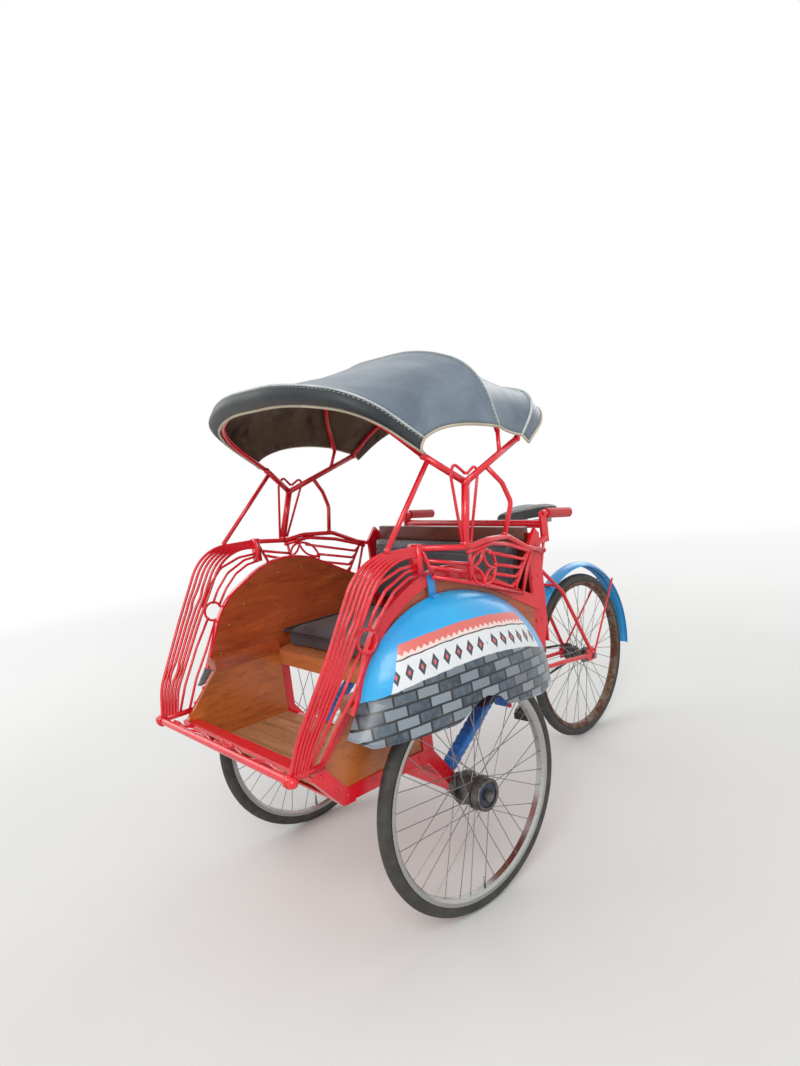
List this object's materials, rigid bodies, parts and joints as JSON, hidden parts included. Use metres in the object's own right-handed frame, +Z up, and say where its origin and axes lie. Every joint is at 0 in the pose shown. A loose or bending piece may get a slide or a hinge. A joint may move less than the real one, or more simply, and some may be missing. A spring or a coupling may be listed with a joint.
{
  "type": "cycle rickshaw",
  "caption": "Passenger cycle rickshaw: wooden cab with bench and folding-style canopy on a front axle, steered by the pedalled bicycle rear half.",
  "frame": {"origin": "centre of the bounding box's base, on the ground", "axes": "+Z up, -Y forward (the passengers' side), +X to the passengers' left"},
  "size_m": [1.1296, 2.1871, 1.6589],
  "materials": {
    "red_paint": "glossy red enamel",
    "blue_paint": "glossy sky-blue enamel, hand painted",
    "blue_wrap": "dark blue wound tape",
    "wood": "varnished planks",
    "floor_wood": "worn boards",
    "black_vinyl": "black vinyl upholstery",
    "canopy_vinyl": "coated canopy cloth",
    "tyre": "dusty rubber",
    "rim": "worn plated rim",
    "hub": "greasy dark steel",
    "steel": "worn steel",
    "chain": "oiled steel",
    "grip_rubber": "red hand grips",
    "pedal_rubber": "black rubber"
  },
  "bodies": {
    "cab": {"tub_frame": "red_paint", "tub_sides": "wood", "floor_planks": "floor_wood", "ledges": "wood", "side_walls": "wood", "arch_bands": "red_paint", "corner_plates": "red_paint", "seat_board": "wood", "seat_cushion": "black_vinyl", "back_wall": "wood", "backrest_cushion": "black_vinyl", "seat_frame": "red_paint", "axle": "red_paint", "spring_arms": "blue_wrap", "grilles": "red_paint", "side_lattices": "red_paint", "front_bar": "red_paint", "canopy": "canopy_vinyl", "canopy_bows": "red_paint", "canopy_posts": "red_paint", "fenders": "blue_paint", "fender_hangers": "blue_paint", "steering_post": "red_paint", "handlebar": "red_paint", "grips": "grip_rubber"},
    "wheel_left": {"left_tyre": "tyre", "left_rim": "rim", "left_hub": "hub"},
    "wheel_right": {"right_tyre": "tyre", "right_rim": "rim", "right_hub": "hub"},
    "rear_half": {"rear_frame": "red_paint", "rear_axle": "steel", "seat_post": "steel", "saddle": "black_vinyl", "chain": "chain", "rear_guard": "blue_paint", "guard_stays": "steel"},
    "wheel_rear": {"rear_tyre": "tyre", "rear_rim": "rim", "rear_hub": "hub"},
    "crank": {"crankset": "steel"},
    "pedal_l": {"pedal_left": "pedal_rubber"},
    "pedal_r": {"pedal_right": "pedal_rubber"}
  },
  "joints": [
    {"name": "wheel_left_spin", "type": "hinge", "parent": "cab", "child": "wheel_left", "pos_m": [0.434, -0.51858, 0.355], "axis": [1, 0, 0], "continuous": true},
    {"name": "wheel_right_spin", "type": "hinge", "parent": "cab", "child": "wheel_right", "pos_m": [-0.434, -0.51858, 0.355], "axis": [1, 0, 0], "continuous": true},
    {"name": "steering", "type": "hinge", "parent": "cab", "child": "rear_half", "pos_m": [0, 0.11042, 0.725], "axis": [0, 0, 1], "range_deg": [-45.15, 34.85]},
    {"name": "wheel_rear_spin", "type": "hinge", "parent": "rear_half", "child": "wheel_rear", "pos_m": [-0.05197, 0.68708, 0.355], "axis": [0.996, 0.0898, 0], "continuous": true},
    {"name": "crank_spin", "type": "hinge", "parent": "rear_half", "child": "crank", "pos_m": [-0.01212, 0.24488, 0.385], "axis": [0.996, 0.0898, 0], "continuous": true},
    {"name": "pedal_left_spin", "type": "hinge", "parent": "crank", "child": "pedal_l", "pos_m": [0.07888, 0.10417, 0.31267], "axis": [0.996, 0.0898, 0], "continuous": true},
    {"name": "pedal_right_spin", "type": "hinge", "parent": "crank", "child": "pedal_r", "pos_m": [-0.10312, 0.38558, 0.45733], "axis": [0.996, 0.0898, 0], "continuous": true}
  ]
}
